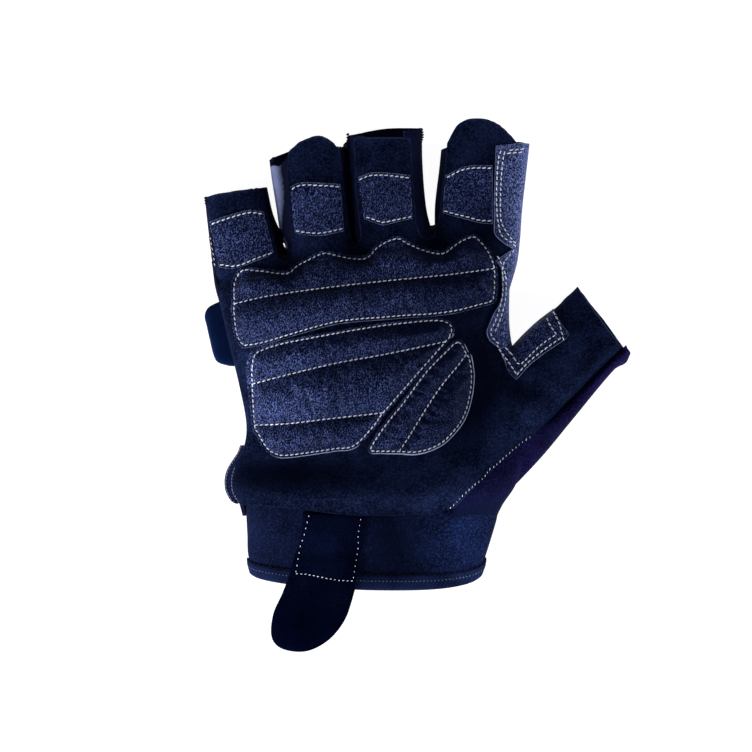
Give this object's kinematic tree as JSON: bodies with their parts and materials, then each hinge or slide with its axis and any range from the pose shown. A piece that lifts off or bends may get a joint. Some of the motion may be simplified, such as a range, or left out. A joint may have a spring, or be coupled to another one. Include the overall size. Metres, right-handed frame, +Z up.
{
  "type": "weightlifting glove",
  "caption": "Half-finger weightlifting glove for the right hand, lying palm up, with padded leather palm, cuff and pull tab.",
  "frame": {"origin": "on the resting surface under the middle of the glove's bounding box", "axes": "+X to the thumb's side, +Y to the fingertips, +Z up out of the palm"},
  "size_m": [0.1483, 0.1861, 0.0337],
  "materials": {
    "suede": "soft navy suede",
    "leather": "pebbled navy leather with pale flecks",
    "stretch": "stretch knit, navy to purple",
    "neoprene": "smooth jersey-faced neoprene",
    "microfibre": "very dark smooth microfibre",
    "thread": "white sewing thread"
  },
  "bodies": {
    "root": {"palm_panel": "suede", "back_panel": "stretch", "side_panel": "stretch", "fourchette_little_ring": "stretch", "fourchette_ring_middle": "stretch", "fourchette_middle_index": "stretch", "grip_little": "leather", "grip_ring": "leather", "grip_middle": "leather", "grip_index": "leather", "index_side_patch": "leather", "thumb_crotch_patch": "leather", "knuckle_pad": "leather", "heel_pad": "leather", "thenar_pad": "leather", "cuff_band": "neoprene", "cuff_hem": "neoprene", "pull_tab": "microfibre", "back_tab": "neoprene", "wrist_strap": "neoprene"}
  },
  "joints": []
}
